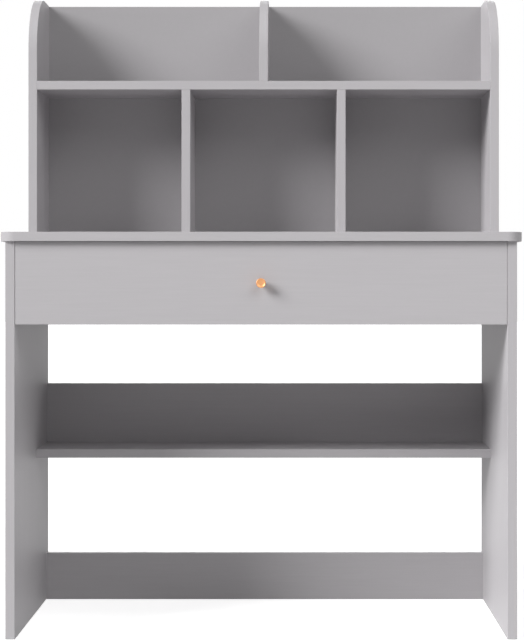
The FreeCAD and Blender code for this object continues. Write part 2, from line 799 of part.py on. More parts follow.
def knob():
    """Turned knob: foot, waist and a round head with a rim round its sunk face, bored for its screw."""
    bore = "Sizes.knob_screw_radius + Sizes.bore_play"
    head_start = "Sizes.knob_reach - Sizes.knob_head_depth"
    dish = "Sizes.knob_reach - Sizes.knob_dish"
    rim = "Sizes.knob_radius - Sizes.knob_rim"
    body = turned("knob_turning", [
        ("0", bore),
        ("Sizes.knob_bore_depth", bore),
        ("Sizes.knob_bore_depth", "0"),
        (dish, "0"),
        (dish, rim),
        ("Sizes.knob_reach", rim),
        ("Sizes.knob_reach", "Sizes.knob_radius"),
        (head_start, "Sizes.knob_radius"),
        (head_start, "Sizes.knob_neck"),
        ("Sizes.knob_foot_depth", "Sizes.knob_neck"),
        ("Sizes.knob_foot_depth", "Sizes.knob_foot"),
        ("0", "Sizes.knob_foot"),
    ])
    return place(body, "0", "Places.front_face", "Places.knob_height", facing(-BACK, UP))


# ---------------------------------------------------------------- roller runners

def runner_stock(name, sign, section, length):
    """Rolled steel section: corners are distance from the side panel and height, run backwards."""
    inward = "" if sign == "-" else "-"
    corners = [(f"{inward}({across})", up) for across, up in section]
    return plate(name, "XZ_Plane", corners, length, True)


def cabinet_member(name, sign):
    """Fixed channel: web on the side panel, floor, roof, rear stop and the lanced out-stop."""
    floor_reach = "Sizes.runner_space - Sizes.steel - Sizes.member_gap"
    body = runner_stock(name, sign, [
        ("0", "-Sizes.steel"),
        (floor_reach, "-Sizes.steel"),
        (floor_reach, "0"),
        ("Sizes.steel", "0"),
        ("Sizes.steel", "Places.channel_height"),
        ("Sizes.roof_reach", "Places.channel_height"),
        ("Sizes.roof_reach", "Places.channel_height + Sizes.steel"),
        ("0", "Places.channel_height + Sizes.steel"),
    ], "Places.runner_length")
    inward = "" if sign == "-" else "-"
    tabs = (
        ("rear_stop", "Sizes.steel", floor_reach, "Places.rear_roller_radius",
         "Places.runner_length - Sizes.steel"),
        ("out_stop", f"{floor_reach} - Sizes.stop_width", floor_reach, "Sizes.stop_height",
         "Places.out_stop - Places.runner_front - Sizes.steel"),
    )
    for tab, start, end, height, along in tabs:
        sketch = sketch_on(body, "XZ_Plane", f"{name}_{tab}", f"-({along})")
        outline(sketch, rectangle(f"{inward}({start})", "0", f"{inward}({end})", height))
        pad(body, sketch, "Sizes.steel", True)
    return place(body, f"{sign}Places.inner_half", "Places.runner_front", "Places.channel_floor")


def drawer_member(name, sign):
    """Moving rail: foot under the drawer side, web, and a flange that runs on the front roller."""
    web = "Sizes.runner_space - Sizes.steel"
    foot = "-Sizes.member_gap"
    body = runner_stock(name, sign, [
        ("Sizes.runner_space - Sizes.steel - Sizes.flange_reach", "Places.flange_under"),
        (web, "Places.flange_under"),
        (web, f"{foot} - Sizes.steel"),
        (f"{web} + Sizes.foot_reach", f"{foot} - Sizes.steel"),
        (f"{web} + Sizes.foot_reach", foot),
        ("Sizes.runner_space", foot),
        ("Sizes.runner_space", "Places.flange_top"),
        ("Sizes.runner_space - Sizes.steel - Sizes.flange_reach", "Places.flange_top"),
    ], "Places.runner_length")
    inward = "" if sign == "-" else "-"
    clearance = "2 * Places.rear_roller_radius + Sizes.member_gap"
    sketch = sketch_on(body, "XZ_Plane", f"{name}_relief", f"-(Places.runner_length - ({clearance}))")
    outline(sketch, rectangle(
        "0", "Places.flange_under - Sizes.member_gap", f"{inward}({web})",
        "Places.flange_top + Sizes.member_gap"))
    pocket(body, sketch, f"{clearance} + Sizes.bore_spare")
    return place(body, f"{sign}Places.inner_half", "Places.front_inside", "Places.channel_floor")


def roller(name, radius):
    """Nylon roller with a running bore for its pin."""
    bore = "Sizes.pin_radius + Sizes.pin_play"
    return turned(name, rectangle("0", bore, "Sizes.roller_width", radius))


def roller_pin(name):
    """Rivet through a web: round shank, shoulder against the web, head that keeps the roller on."""
    shoulder_end = "Sizes.steel + Sizes.roller_offset - Sizes.pin_play"
    head_start = f"{shoulder_end} + Sizes.roller_width + 2 * Sizes.pin_play"
    head_end = f"{head_start} + Sizes.pin_head_depth"
    rivet = document.addObject("Part::MultiFuse", name)
    rivet.Shapes = [
        turned(f"{name}_shank", rectangle("0", "0", head_end, "Sizes.pin_radius")),
        prism(f"{name}_shoulder", HIDDEN_SIDES, "Sizes.steel", shoulder_end, "Sizes.pin_head"),
        prism(f"{name}_head", HIDDEN_SIDES, head_start, head_end, "Sizes.pin_head"),
    ]
    return rivet


def add_pins():
    """Roller pins of the cabinet members and of the drawer members, and the holes they need."""
    pin = roller_pin("pin_master")
    hole = prism("pin_hole", DISC_SIDES, "-Sizes.bore_spare", "Sizes.steel + Sizes.bore_spare",
                 "Sizes.pin_radius + Sizes.pin_hole_play")
    front = []
    rear = []
    for side, sign, hand in HANDS:
        front.append((f"{sign}Places.inner_half", "Places.front_roller_centre",
                      "Places.front_roller_height", facing(RIGHT * -hand, UP)))
        rear.append((f"{sign}Places.box_half", "Places.rear_roller_centre",
                     "Places.rear_roller_height", facing(RIGHT * hand, UP)))
    return (copies(pin, "front_pin", front), copies(pin, "rear_pin", rear),
            copies(hole, "front_pin_hole", front), copies(hole, "rear_pin_hole", rear))


def add_rollers():
    """Two front rollers on the cabinet members and two rear rollers on the drawer members."""
    rows = (
        ("front_roller", "Sizes.roller_radius", "Places.front_roller_side",
         "Places.front_roller_centre", "Places.front_roller_height", -1),
        ("rear_roller", "Places.rear_roller_radius", "Places.rear_roller_side",
         "Places.rear_roller_centre", "Places.rear_roller_height", 1),
    )
    for name, radius, across, along, height, outward in rows:
        for side, sign, hand in HANDS:
            wheel = roller(f"{name}_{side}", radius)
            keep(f"{name}_{side}", place(wheel, f"{sign}{across}", along, height,
                                         facing(RIGHT * hand * outward, UP)))


# ---------------------------------------------------------------- assembly and export

def build():
    """Make every sub-part in place."""
    locks, bolts, cam_bores, bolt = add_panel_connectors()
    drawer_locks, drawer_bolts, drawer_bores = add_drawer_connectors(bolt)
    dowels, dowel_bores = add_dowels()
    divider_screws, box_screws, divider_bores, box_bores = add_wood_screws()
    cabinet_screws, member_screws, cabinet_bores, member_bores = add_runner_screws()
    front_pins, rear_pins, front_holes, rear_holes = add_pins()
    desk_bores = cam_bores + dowel_bores + divider_bores + cabinet_bores

    drilled("worktop", worktop(), desk_bores)
    drilled("rear_apron", cross_board("apron_blank", "Sizes.apron_height",
                                      "Places.side_rear - Sizes.board", "Places.apron_low"),
            desk_bores)
    drilled("knee_shelf", shelf_board("knee_shelf_blank", "Sizes.knee_shelf_depth",
                                      "Places.knee_shelf_front", "Places.knee_shelf_under"),
            desk_bores)
    drilled("knee_shelf_back", cross_board("knee_back_blank", "Sizes.knee_back_height",
                                           "Places.side_rear - Sizes.board",
                                           "Sizes.knee_shelf_top"), desk_bores)
    drilled("floor_rail", cross_board("floor_rail_blank", "Sizes.floor_rail_height",
                                      "Places.floor_rail_middle - Places.half_board", "0"),
            desk_bores)
    drilled("hutch_shelf", shelf_board("hutch_shelf_blank", "Places.hutch_inner_depth",
                                       "Places.hutch_front", "Places.hutch_shelf_under"),
            desk_bores)
    drilled("hutch_top_divider", top_divider(), desk_bores)
    keep("hutch_back", back_sheet())
    for side, sign, hand in HANDS:
        drilled(f"desk_side_{side}", desk_side(f"desk_side_{side}_blank", sign), desk_bores)
        drilled(f"hutch_side_{side}", hutch_side(f"hutch_side_{side}_blank", sign), desk_bores)
        drilled(f"hutch_divider_{side}", lower_divider(f"divider_{side}_blank", sign), desk_bores)
        drilled(f"cabinet_runner_{side}", cabinet_member(f"cabinet_runner_{side}_blank", sign),
                cabinet_bores + front_holes)
    group("cam_locks", locks)
    group("cam_bolts", bolts)
    group("wood_dowels", dowels)
    group("divider_screws", divider_screws)
    group("cabinet_runner_screws", cabinet_screws)
    group("front_roller_pins", front_pins)

    knob_sizes = ("Sizes.knob_screw_length", "Sizes.knob_screw_radius")
    knob_spot = ("0", "Places.front_inside", "Places.knob_height", facing(-BACK, UP))
    knob_bores = copies(shank_bore("knob_screw_hole", *knob_sizes), "knob_screw_bore", [knob_spot])
    drilled("drawer_front", drawer_face(), drawer_bores + knob_bores)
    for side, sign, hand in HANDS:
        drilled(f"drawer_side_{side}", drawer_side(f"drawer_side_{side}_blank", sign),
                drawer_bores + box_bores + member_bores)
        drilled(f"drawer_runner_{side}", drawer_member(f"drawer_runner_{side}_blank", sign),
                member_bores + rear_holes)
    drilled("drawer_back", drawer_back(), box_bores)
    keep("drawer_bottom", drawer_base())
    keep("drawer_bottom_brace", bottom_brace())
    keep("knob", knob())
    knob_screw = pan_headed("knob_screw", *knob_sizes, "Sizes.knob_screw_head",
                            "Sizes.knob_screw_head_depth")
    keep("knob_screw", place(knob_screw, *knob_spot))
    group("drawer_cam_locks", drawer_locks)
    group("drawer_cam_bolts", drawer_bolts)
    group("drawer_back_screws", box_screws)
    group("drawer_runner_screws", member_screws)
    group("rear_roller_pins", rear_pins)
    add_rollers()


def check_and_export():
    """Stop on any failed object or shape, then write one STEP file for each sub-part."""
    document.recompute()
    for item in document.Objects:
        if "Invalid" in item.State or "Error" in item.State:
            raise ValueError(f"{item.Label} failed: {item.State}")
    for node in nodes:
        if node.Shape.isNull() or not node.Shape.isValid() or not node.Shape.Solids:
            raise ValueError(f"{node.Label} has no valid solid")
    os.makedirs("parts", exist_ok=True)
    for node in nodes:
        node.Shape.exportStep(f"parts/{node.Label}.step")


write_sheet()
write_places()
build()
check_and_export()
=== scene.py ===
"""Student desk with a hutch: board finishes, knob, rollers, fasteners, floor, lights and camera.

Everything is in metres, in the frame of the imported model: +X right, +Y to the back, +Z up.
"""
from math import pi, radians

import bmesh
import bpy
from bpy.props import FloatProperty, FloatVectorProperty, PointerProperty
from bpy.types import Operator, Panel, PropertyGroup
from mathutils import Euler, Matrix, Vector


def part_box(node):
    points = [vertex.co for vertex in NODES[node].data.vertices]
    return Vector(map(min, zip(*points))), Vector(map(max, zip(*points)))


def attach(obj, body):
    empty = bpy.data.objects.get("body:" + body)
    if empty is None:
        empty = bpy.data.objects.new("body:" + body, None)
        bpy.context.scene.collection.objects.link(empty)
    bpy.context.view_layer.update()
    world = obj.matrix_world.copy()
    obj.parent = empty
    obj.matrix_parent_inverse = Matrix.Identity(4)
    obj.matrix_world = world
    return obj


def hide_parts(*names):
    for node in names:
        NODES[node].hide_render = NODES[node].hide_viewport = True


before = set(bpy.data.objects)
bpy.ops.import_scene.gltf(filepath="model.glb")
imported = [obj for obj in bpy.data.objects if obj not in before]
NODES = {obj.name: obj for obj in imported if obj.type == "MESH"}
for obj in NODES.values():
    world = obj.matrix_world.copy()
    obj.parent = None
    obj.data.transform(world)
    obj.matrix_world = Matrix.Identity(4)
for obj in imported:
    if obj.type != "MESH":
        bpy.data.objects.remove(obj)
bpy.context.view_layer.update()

bl_info = {
    "name": "Student desk with hutch",
    "version": (1, 0, 0),
    "blender": (4, 5, 0),
    "location": "3D View > Sidebar > Desk",
    "description": "Dresses the packed desk: finishes, smooth hardware, floor, lights and camera",
    "category": "Object",
}

RIGHT = Vector((1, 0, 0))
BACK = Vector((0, 1, 0))
UP = Vector((0, 0, 1))
WHITE = (1, 1, 1, 1)
BLACK = (0, 0, 0, 1)
TOUCHING = 1e-6  # points nearer than this are one point
SOFTEST_CREASE = radians(40)  # a flatter crease is shaded as one round face
SOFTEST_RIM = radians(20)  # a flatter ring of edges isn't a rim

LAMINATE_BOARDS = {
    "worktop": RIGHT,
    "desk_side_left": UP,
    "desk_side_right": UP,
    "rear_apron": RIGHT,
    "knee_shelf": RIGHT,
    "knee_shelf_back": RIGHT,
    "floor_rail": RIGHT,
    "hutch_side_left": UP,
    "hutch_side_right": UP,
    "hutch_shelf": RIGHT,
    "hutch_top_divider": UP,
    "hutch_divider_left": UP,
    "hutch_divider_right": UP,
    "drawer_front": RIGHT,
}
DRAWER_BOARDS = {
    "drawer_side_left": BACK,
    "drawer_side_right": BACK,
    "drawer_back": RIGHT,
    "drawer_bottom_brace": BACK,
}
RUNNERS = (
    "cabinet_runner_left", "cabinet_runner_right", "drawer_runner_left", "drawer_runner_right",
)
CAM_FACES = {
    "rear_apron": BACK,
    "knee_shelf": -UP,
    "knee_shelf_back": BACK,
    "floor_rail": BACK,
    "hutch_shelf": UP,
    "desk_side_left": RIGHT,
    "desk_side_right": -RIGHT,
    "drawer_side_left": RIGHT,
    "drawer_side_right": -RIGHT,
}


# ---------------------------------------------------------------- sizes and colours

class DeskBoards(PropertyGroup):
    """Colours and texture of the boards."""
    laminate: FloatVectorProperty(
        name="Laminate", description="Colour of the melamine boards",
        subtype="COLOR", default=(0.495, 0.479, 0.495))
    drawer_box: FloatVectorProperty(
        name="Drawer box", description="Colour of the boards inside the drawer",
        subtype="COLOR", default=(0.560, 0.545, 0.555))
    # Darker than the laminate: partly the back panel's own tone, partly painted shade that deepens
    # the cubbies and the back of the hutch. Only the back panel takes this colour; the drawer
    # bottom takes the drawer box colour.
    hardboard: FloatVectorProperty(
        name="Hardboard", description="Colour of the lacquered back panel and drawer bottom",
        subtype="COLOR", default=(0.385, 0.373, 0.385))
    beech: FloatVectorProperty(
        name="Dowels", description="Colour of the beech dowels",
        subtype="COLOR", default=(0.620, 0.450, 0.280))
    pearl: FloatProperty(
        name="Pearl size", description="Width of one bead of the pressed laminate texture",
        unit="LENGTH", default=0.0011)
    edge_band: FloatProperty(
        name="Edge band", description="Thickness of the strip glued round each board",
        unit="LENGTH", default=0.0010)


class DeskMetal(PropertyGroup):
    """Colours of the metal and nylon pieces."""
    copper: FloatVectorProperty(
        name="Knob", description="Colour of the satin copper knob",
        subtype="COLOR", default=(0.640, 0.320, 0.148))
    enamel: FloatVectorProperty(
        name="Runner enamel", description="Colour of the baked coat on the runners",
        subtype="COLOR", default=(0.720, 0.720, 0.710))
    zinc: FloatVectorProperty(
        name="Zinc plate", description="Colour of the plated screws, bolts and pins",
        subtype="COLOR", default=(0.620, 0.630, 0.640))
    cast_zinc: FloatVectorProperty(
        name="Cast zinc", description="Colour of the cast cam discs",
        subtype="COLOR", default=(0.500, 0.500, 0.500))
    nylon: FloatVectorProperty(
        name="Nylon", description="Colour of the rollers",
        subtype="COLOR", default=(0.850, 0.850, 0.830))


class DeskHardware(PropertyGroup):
    """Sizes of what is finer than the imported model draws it."""
    knob_dish: FloatProperty(
        name="Knob dish", description="Depth of the hollow in the knob's face",
        unit="LENGTH", default=0.0016)
    knob_rim: FloatProperty(
        name="Knob rim", description="Width of the rim round the knob's hollow",
        unit="LENGTH", default=0.0013)
    knob_round: FloatProperty(
        name="Knob rounding", description="Radius of the knob's outer edges",
        unit="LENGTH", default=0.0011)
    knob_fillet: FloatProperty(
        name="Knob waist", description="Radius where the knob's waist meets its foot and head",
        unit="LENGTH", default=0.0016)
    roller_round: FloatProperty(
        name="Roller rounding", description="Radius of a roller's rims",
        unit="LENGTH", default=0.0005)
    roller_hub: FloatProperty(
        name="Roller hub", description="Radius of the ring round a roller's bore",
        unit="LENGTH", default=0.0042)
    roller_rim: FloatProperty(
        name="Roller rim", description="Width of the ring under a roller's tread",
        unit="LENGTH", default=0.0020)
    roller_groove: FloatProperty(
        name="Roller groove", description="Depth of the groove in a roller's faces",
        unit="LENGTH", default=0.0006)
    pin_radius: FloatProperty(
        name="Pin", description="Radius of a roller pin's shank",
        unit="LENGTH", default=0.0020)
    pin_play: FloatProperty(
        name="Pin play", description="Running gap between a pin and its roller",
        unit="LENGTH", default=0.00008)
    pin_head: FloatProperty(
        name="Pin head", description="Thickness of a pin's head",
        unit="LENGTH", default=0.0008)
    cross_reach: FloatProperty(
        name="Cross reach", description="Half the width of a screw's cross recess",
        unit="LENGTH", default=0.0021)
    cross_width: FloatProperty(
        name="Cross width", description="Width of one slot of a cross recess",
        unit="LENGTH", default=0.0008)
    cross_depth: FloatProperty(
        name="Cross depth", description="Depth of a screw's cross recess",
        unit="LENGTH", default=0.0016)
    cam_dish: FloatProperty(
        name="Cam dish", description="How far a cam disc's face lies under its rim",
        unit="LENGTH", default=0.0004)
    cam_round: FloatProperty(
        name="Cam rounding", description="Radius of a cam disc's outer edge",
        unit="LENGTH", default=0.0003)
    cam_cross: FloatProperty(
        name="Cam cross", description="Size of a cam disc's cross recess, as a share of a screw's",
        default=1.7)
    cam_cross_depth: FloatProperty(
        name="Cam cross depth", description="Depth of a cam disc's cross recess",
        unit="LENGTH", default=0.0035)
    nail_radius: FloatProperty(
        name="Nail head", description="Radius of a back panel nail's head",
        unit="LENGTH", default=0.0023)
    nail_proud: FloatProperty(
        name="Nail height", description="How far a nail's head stands off the back panel",
        unit="LENGTH", default=0.0004)
    nail_seat: FloatProperty(
        name="Nail seat", description="How far a nail's head is driven into the back panel",
        unit="LENGTH", default=0.0003)
    nail_length: FloatProperty(
        name="Nail length", description="Length of a nail's shank in the back panel",
        unit="LENGTH", default=0.003)
    nail_inset: FloatProperty(
        name="Nail inset", description="Distance of the end nails from the panel's ends",
        unit="LENGTH", default=0.040)
    nail_drop: FloatProperty(
        name="Nail drop", description="Distance of the side nails under the shelf from it",
        unit="LENGTH", default=0.140)


class DeskStage(PropertyGroup):
    """Camera place and the strength of the lights."""
    eye: FloatVectorProperty(
        name="Eye", description="Place of the camera, which looks straight at the back",
        subtype="TRANSLATION", unit="LENGTH", default=(0.059, -3.66875, 0.6756))
    lens: FloatProperty(
        name="Lens", description="Focal length on a 36 mm sensor, in millimetres",
        default=101.1)
    shift: FloatVectorProperty(
        name="Shift", description="Shift of the view as a share of its long side",
        size=2, default=(-0.0469, -0.0531))
    key: FloatProperty(
        name="Key", description="Strength of the soft sun from the left in front",
        default=3.42)
    key_tilt: FloatVectorProperty(
        name="Key tilt", description="How the key is tipped from straight down, then turned",
        size=2, subtype="EULER", default=(radians(62), radians(-58)))
    narrow_width: FloatProperty(
        name="Narrow width", description="Width of the key and the rear light, as an angle",
        subtype="ANGLE", default=radians(28))
    upper: FloatProperty(
        name="Upper", description="Strength of the broad light from above in front",
        default=1.08)
    upper_tilt: FloatVectorProperty(
        name="Upper tilt",
        description="How the upper light is tipped from straight down, then turned",
        size=2, subtype="EULER", default=(radians(52), radians(40)))
    rear: FloatProperty(
        name="Rear", description="Strength of the soft sun from behind",
        default=1.0)
    rear_tilt: FloatVectorProperty(
        name="Rear tilt",
        description="How the rear light is tipped from straight down, then turned",
        size=2, subtype="EULER", default=(radians(68), radians(180)))
    broad_width: FloatProperty(
        name="Broad width", description="Width of the upper light, as an angle",
        subtype="ANGLE", default=radians(50))
    fill: FloatProperty(
        name="Fill", description="Strength of the light from all round",
        default=0.0)
    floor_glow: FloatProperty(
        name="Floor glow", description="Light that the eye sees from the floor besides its shadow",
        default=0.75)
    floor_tone: FloatProperty(
        name="Floor tone", description="Share of the light that the floor throws back",
        default=0.66)
    floor_reach: FloatProperty(
        name="Floor reach", description="Distance from the desk to the floor's sides",
        unit="LENGTH", default=30.0)


# ---------------------------------------------------------------- shader maths

class Value:
    """A shader socket that takes part in Python sums."""

    def __init__(self, finish, socket):
        self.finish = finish
        self.socket = socket

    def math(self, operation, first, second):
        """The result of one sum."""
        return self.finish.node("ShaderNodeMath", {"operation": operation}, {0: first, 1: second})

    def __add__(self, other):
        return self.math("ADD", self, other)

    __radd__ = __add__

    def __sub__(self, other):
        return self.math("SUBTRACT", self, other)

    def __rsub__(self, other):
        return self.math("SUBTRACT", other, self)

    def __mul__(self, other):
        return self.math("MULTIPLY", self, other)

    __rmul__ = __mul__

    def least(self, other):
        """The smaller of two values."""
        return self.math("MINIMUM", self, other)

    def most(self, other):
        """The larger of two values."""
        return self.math("MAXIMUM", self, other)


class Network:
    """A node tree that is built node by node."""

    def __init__(self, tree):
        self.tree = tree
        self.tree.nodes.clear()

    def node(self, kind, settings=None, sockets=None, out=0):
        """Add a node: its settings first, then the values or links of its sockets."""
        node = self.tree.nodes.new(kind)
        for name, value in (settings or {}).items():
            if name == "stops":
                self.set_stops(node.color_ramp, value)
            else:
                setattr(node, name, value)
        for name, value in (sockets or {}).items():
            if isinstance(value, Value):
                self.tree.links.new(value.socket, node.inputs[name])
            else:
                node.inputs[name].default_value = value
        return Value(self, node.outputs[out]) if len(node.outputs) else None

    @staticmethod
    def set_stops(ramp, stops):
        """Give a colour ramp its stops, as pairs of position and grey level."""
        for number, (position, level) in enumerate(stops):
            stop = ramp.elements[number] if number < 2 else ramp.elements.new(position)
            stop.position = position
            stop.color = (level, level, level, 1)

    def seen_straight(self):
        """1 for the rays that look at a thing straight, in a mirror or through glass, else 0."""
        rays = self.node("ShaderNodeLightPath")
        kinds = ("Is Camera Ray", "Is Glossy Ray", "Is Transmission Ray")
        camera, mirror, glass = [Value(self, rays.socket.node.outputs[kind]) for kind in kinds]
        return camera + mirror + glass


class Finish(Network):
    """One material, from its nodes to its surface."""

    def __init__(self, name):
        self.material = bpy.data.materials.new(name)
        self.material.use_nodes = True
        super().__init__(self.material.node_tree)

    def place(self, stretch=(1, 1, 1)):
        """Object coordinates, stretched."""
        coordinates = self.node("ShaderNodeTexCoord", out="Object")
        return self.node("ShaderNodeMapping", sockets={"Vector": coordinates, "Scale": stretch})

    def edge_distance(self, box):
        """How far a point on a board's surface lies from the nearest edge of its box."""
        point = self.node("ShaderNodeSeparateXYZ", sockets={
            "Vector": self.node("ShaderNodeTexCoord", out="Object")})
        gaps = []
        for axis, (low, high) in enumerate(zip(*box)):
            along = Value(self, point.socket.node.outputs[axis])
            gaps.append((along - low).least(high - along).most(0.0))
        first, second, third = gaps
        return first.least(second).most(first.most(second).least(third))

    def noise(self, place, scale, detail, roughness=0.5):
        """Noise between 0 and 1; scale is in waves to the metre."""
        return self.node("ShaderNodeTexNoise", sockets={
            "Vector": place, "Scale": scale, "Detail": detail, "Roughness": roughness}, out="Fac")

    def ramp(self, value, *stops):
        """Grey levels that follow a value."""
        return self.node("ShaderNodeValToRGB", {"stops": stops}, {"Fac": value})

    def blend(self, amount, first, second):
        """Colour between two others."""
        return self.node("ShaderNodeMix", {"data_type": "RGBA"},
                         {"Factor": amount, 6: first, 7: second}, out=2)

    def bump(self, height, distance, strength):
        """Normal that follows a height."""
        return self.node("ShaderNodeBump", sockets={
            "Height": height, "Distance": distance, "Strength": strength})

    def surface(self, **sockets):
        """Close the material with a Principled surface."""
        names = {name.replace("_", " ").title().replace("Ior", "IOR"): value
                 for name, value in sockets.items()}
        shader = self.node("ShaderNodeBsdfPrincipled", sockets=names)
        self.node("ShaderNodeOutputMaterial", sockets={"Surface": shader})
        return self.material


def stretched(grain, share):
    """Stretch of a pattern that runs along the grain."""
    return tuple(share if abs(part) > 0.5 else 1.0 for part in grain)


def tone(colour, factor):
    """A colour made lighter or darker, with its alpha."""
    return tuple(min(1.0, channel * factor) for channel in colour[:3]) + (1.0,)


# ---------------------------------------------------------------- finishes

def laminate(node, colour, grain, sizes):
    """Pressed melamine with fine beads, a faint drift, and edge bands with rubbed corners."""
    finish = Finish(f"laminate_{node}")
    place = finish.place()
    drift = finish.noise(finish.place(stretched(grain, 0.25)),
                         scale=5.0, detail=3.0, roughness=0.55)
    streaks = finish.noise(finish.place(stretched(grain, 0.03)),
                           scale=260.0, detail=3.0, roughness=0.6)
    beads = finish.noise(place, scale=0.55 / sizes.pearl, detail=2.0, roughness=0.45)
    dust = finish.noise(place, scale=2.4 / sizes.pearl, detail=1.0)
    from_edge = finish.edge_distance(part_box(node)) * (1 / sizes.edge_band)
    patches = finish.noise(place, scale=35.0, detail=3.0, roughness=0.6)
    corner = finish.ramp(from_edge + 0.6 * patches, (0.45, 1.0), (0.95, 0.0))
    seam = finish.ramp(0.5 * from_edge, (0.44, 0.0), (0.48, 1.0), (0.52, 1.0), (0.56, 0.0))
    board = finish.blend(0.3 * drift + 0.4 * streaks + 0.15 * (beads + dust),
                         tone(colour, 0.88), tone(colour, 1.12))
    rubbed = finish.blend(0.75 * corner, board, tone(colour, 1.2))
    return finish.surface(
        base_color=finish.blend(0.6 * seam, rubbed, tone(colour, 0.6)),
        roughness=0.46 + 0.14 * beads + 0.05 * drift - 0.08 * corner,
        specular_ior_level=0.25,
        normal=finish.bump((beads + 0.35 * dust + 0.5 * streaks) * (1 - corner),
                           distance=0.00006, strength=0.7))


def hardboard(name, colour):
    """Lacquered hardboard: slightly wavy lacquer over pressed fibres."""
    finish = Finish(name)
    place = finish.place()
    waves = finish.noise(place, scale=130.0, detail=2.0)
    fibres = finish.noise(finish.place((1.0, 1.0, 3.0)), scale=900.0, detail=3.0, roughness=0.6)
    colour = finish.blend(waves * 0.5 + fibres * 0.5, tone(colour, 0.96), tone(colour, 1.04))
    return finish.surface(
        base_color=colour,
        roughness=0.46 + 0.12 * fibres,
        ior=1.46,
        normal=finish.bump(fibres + 0.6 * waves, distance=0.00005, strength=0.5))


def enamel(name, colour):
    """Baked coat on rolled steel, with its fine orange peel."""
    finish = Finish(name)
    place = finish.place()
    peel = finish.noise(place, scale=1400.0, detail=1.0)
    handling = finish.noise(finish.place((1.0, 0.2, 1.0)), scale=60.0, detail=4.0, roughness=0.65)
    scuffs = finish.ramp(handling, (0.56, 0.0), (0.72, 1.0))
    colour = finish.blend(scuffs, tone(colour, 1.0), tone(colour, 0.88))
    return finish.surface(
        base_color=colour,
        roughness=0.30 + 0.18 * scuffs,
        coat_weight=0.3,
        normal=finish.bump(peel, distance=0.00004, strength=0.4))


def metal(name, colour, roughness, mottle, streak=(1, 1, 1)):
    """Bare or plated metal with fine turning or casting marks."""
    finish = Finish(name)
    marks = finish.noise(finish.place(streak), scale=2600.0, detail=2.0)
    blotches = finish.noise(finish.place(), scale=260.0, detail=3.0, roughness=0.6)
    colour = finish.blend(blotches, tone(colour, 1.0 - mottle), tone(colour, 1.0 + mottle))
    return finish.surface(
        base_color=colour,
        metallic=1.0,
        roughness=roughness + 0.10 * marks + 0.06 * blotches,
        normal=finish.bump(marks, distance=0.00002, strength=0.35))


def nylon(name, colour):
    """Moulded nylon, waxy and slightly cloudy."""
    finish = Finish(name)
    cloud = finish.noise(finish.place(), scale=220.0, detail=2.0)
    colour = finish.blend(cloud, tone(colour, 0.93), tone(colour, 1.03))
    return finish.surface(
        base_color=colour,
        roughness=0.34 + 0.12 * cloud,
        subsurface_weight=0.15,
        normal=finish.bump(cloud, distance=0.00006, strength=0.3))


def beech(name, colour):
    """Bare beech with short dark flecks along its grain."""
    finish = Finish(name)
    grain = finish.noise(finish.place((0.15, 0.15, 0.15)), scale=2200.0, detail=4.0, roughness=0.6)
    flecks = finish.ramp(grain, (0.45, 0.0), (0.62, 1.0))
    colour = finish.blend(flecks, tone(colour, 0.82), tone(colour, 1.06))
    return finish.surface(base_color=colour, roughness=0.62 + 0.1 * flecks,
                          normal=finish.bump(grain, distance=0.00005, strength=0.5))


def dress(node, material):
    """Give a packed sub-part its finish."""
    slots = NODES[node].data.materials
    slots.clear()
    slots.append(material)


# ---------------------------------------------------------------- making pieces

def lay_out(tool, name):
    """Turn a finished bmesh into an object of the scene."""
    mesh = bpy.data.meshes.new(name)
    tool.to_mesh(mesh)
    tool.free()
    thing = bpy.data.objects.new(name, mesh)
    bpy.context.scene.collection.objects.link(thing)
    return thing


def settle(tool, name, material, body, slot, *stands_for):
    """Turn a finished bmesh into a piece that rides on a body."""
    bmesh.ops.remove_doubles(tool, verts=tool.verts, dist=TOUCHING)
    bmesh.ops.recalc_face_normals(tool, faces=tool.faces)
    piece = lay_out(tool, name)
    piece.data.shade_smooth()
    piece.data.set_sharp_from_angle(angle=SOFTEST_CREASE)
    piece.data.materials.append(material)
    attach(piece, body)
    if stands_for:
        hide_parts(*stands_for)


def lathe(profile, steps):
    """Spin a profile of (radius, height) pairs round the Z axis into a closed solid."""
    tool = bmesh.new()
    points = [tool.verts.new((radius, 0, height)) for radius, height in profile]
    edges = [tool.edges.new(pair) for pair in zip(points, points[1:])]
    bmesh.ops.spin(tool, geom=points + edges, cent=(0, 0, 0), axis=(0, 0, 1), angle=2 * pi,
                   steps=steps, use_merge=True, use_duplicate=False)
    bmesh.ops.remove_doubles(tool, verts=tool.verts, dist=TOUCHING)
    bmesh.ops.recalc_face_normals(tool, faces=tool.faces)
    return tool


def round_rims(tool, heights, offset, segments, least, most):
    """Round the ring edges that lie at given heights, between two radii."""
    picked = []
    for edge in tool.edges:
        low, high = edge.verts
        level = abs(low.co.z - high.co.z) < TOUCHING
        wanted = any(abs(low.co.z - height) < TOUCHING for height in heights)
        if not level or not wanted or len(edge.link_faces) != 2:
            continue
        if edge.calc_face_angle(0.0) < SOFTEST_RIM:
            continue
        if least < low.co.xy.length < most:
            picked.append(edge)
    bmesh.ops.bevel(tool, geom=picked, offset=offset, offset_type="OFFSET", segments=segments,
                    profile=0.5, affect="EDGES", clamp_overlap=True, material=-1)


